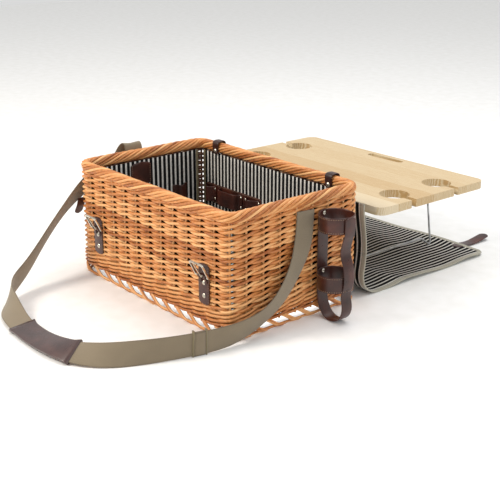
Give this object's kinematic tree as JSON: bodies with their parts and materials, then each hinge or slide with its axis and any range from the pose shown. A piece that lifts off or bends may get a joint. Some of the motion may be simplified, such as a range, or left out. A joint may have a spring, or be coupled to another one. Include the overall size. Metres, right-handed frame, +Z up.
{
  "type": "wicker picnic basket",
  "caption": "Rectangular willow picnic basket with lining, hinged soft cover, leather bottle holder, shoulder strap and a folding wooden table lid.",
  "frame": {"origin": "middle of the basket's foot, on the ground", "axes": "+X to the basket's right end, +Y to its back, where the cover hangs, +Z up"},
  "size_m": [0.7043, 1.2667, 0.2986],
  "materials": {
    "willow": "honey-coloured peeled willow, lightly varnished",
    "lining_cloth": "woven cotton, narrow black and off-white stripes",
    "cover_cloth": "striped cotton with a grey-beige bound edge",
    "leather": "smooth dark brown leather",
    "webbing": "taupe herringbone webbing",
    "nickel": "polished nickel plate",
    "pine": "pale satin pine boards glued edge to edge",
    "steel_wire": "plain bright steel wire"
  },
  "bodies": {
    "basket": {"anchor_patch_left": "leather", "anchor_patch_right": "leather", "bottle_ring_lower": "leather", "bottle_ring_upper": "leather", "bottle_rivets": "nickel", "bottle_sling": "leather", "closure_loop_left": "leather", "closure_loop_right": "leather", "closure_rivets_left": "nickel", "closure_rivets_right": "nickel", "closure_tab_left": "leather", "closure_tab_right": "leather", "cutlery_band": "leather", "cutlery_loops": "leather", "cutlery_rivets": "nickel", "foot_border": "willow", "hinge_rivets_left": "nickel", "hinge_rivets_right": "nickel", "hinge_strap_left": "leather", "hinge_strap_right": "leather", "lining_back": "lining_cloth", "lining_base": "lining_cloth", "lining_front": "lining_cloth", "lining_left": "lining_cloth", "lining_right": "lining_cloth", "rim_border": "willow", "shoulder_pad": "leather", "shoulder_strap": "webbing", "side_loop": "leather", "side_tongue": "leather", "strap_slider": "webbing", "tongue_ring": "nickel", "waling_band": "willow", "wicker_base": "willow", "wicker_wall": "willow"},
    "buckle_left": {"buckle_left": "nickel"},
    "buckle_right": {"buckle_right": "nickel"},
    "prong_left": {"prong_left": "nickel"},
    "prong_right": {"prong_right": "nickel"},
    "cover_neck": {"cover_neck": "cover_cloth"},
    "cover_back": {"cover_back": "cover_cloth"},
    "cover_top": {"cover_top": "cover_cloth"},
    "cover_front": {"cover_front": "cover_cloth", "closing_strap_left": "leather", "closing_strap_right": "leather"},
    "table": {"table_board": "pine", "leg_clips_left": "steel_wire", "leg_clips_right": "steel_wire", "clip_screws_left": "steel_wire", "clip_screws_right": "steel_wire"},
    "leg_left": {"leg_frame_left": "steel_wire"},
    "leg_right": {"leg_frame_right": "steel_wire"}
  },
  "joints": [
    {"name": "table_lift", "type": "slide", "parent": "basket", "child": "table", "axis": [0, 0, 1], "range_m": [0, 0.3]},
    {"name": "leg_fold_right", "type": "hinge", "parent": "table", "child": "leg_right", "pos_m": [0.131, 0.4395, 0.181], "axis": [0, 1, 0], "range_deg": [0, 98]},
    {"name": "leg_fold_left", "type": "hinge", "parent": "table", "child": "leg_left", "pos_m": [-0.175, 0.4395, 0.181], "axis": [0, -1, 0], "range_deg": [0, 88]},
    {"name": "cover_lift", "type": "hinge", "parent": "basket", "child": "cover_neck", "pos_m": [0, 0.202, 0.223], "axis": [1, 0, 0], "range_deg": [0, 180], "deforming": ["cover_neck", "cover_back", "cover_top", "cover_front", "closing_strap_left", "closing_strap_right"]},
    {"name": "cover_rim_bend", "type": "hinge", "parent": "cover_neck", "child": "cover_back", "pos_m": [0, 0.202, 0.141], "axis": [1, 0, 0], "range_deg": [0, 90]},
    {"name": "cover_unfold", "type": "hinge", "parent": "cover_back", "child": "cover_top", "pos_m": [0, 0.211, 0.0103], "axis": [1, 0, 0], "range_deg": [-90, 0]},
    {"name": "cover_front_fold", "type": "hinge", "parent": "cover_top", "child": "cover_front", "pos_m": [0, 0.4993, 0.0013], "axis": [1, 0, 0], "range_deg": [0, 90]},
    {"name": "buckle_swing_left", "type": "hinge", "parent": "basket", "child": "buckle_left", "pos_m": [-0.204, -0.1911, 0.127], "axis": [1, 0, 0], "range_deg": [-20, 60]},
    {"name": "prong_lift_left", "type": "hinge", "parent": "buckle_left", "child": "prong_left", "pos_m": [-0.204, -0.1911, 0.127], "axis": [1, 0, 0], "range_deg": [0, 60]},
    {"name": "buckle_swing_right", "type": "hinge", "parent": "basket", "child": "buckle_right", "pos_m": [0.204, -0.1911, 0.127], "axis": [1, 0, 0], "range_deg": [-20, 60]},
    {"name": "prong_lift_right", "type": "hinge", "parent": "buckle_right", "child": "prong_right", "pos_m": [0.204, -0.1911, 0.127], "axis": [1, 0, 0], "range_deg": [0, 60]}
  ],
  "couplings": [
    {"joint": "cover_rim_bend", "follows": "cover_lift", "ratio": 0.5},
    {"joint": "cover_unfold", "follows": "cover_lift", "ratio": -0.5},
    {"joint": "cover_front_fold", "follows": "cover_lift", "ratio": 0.5}
  ]
}
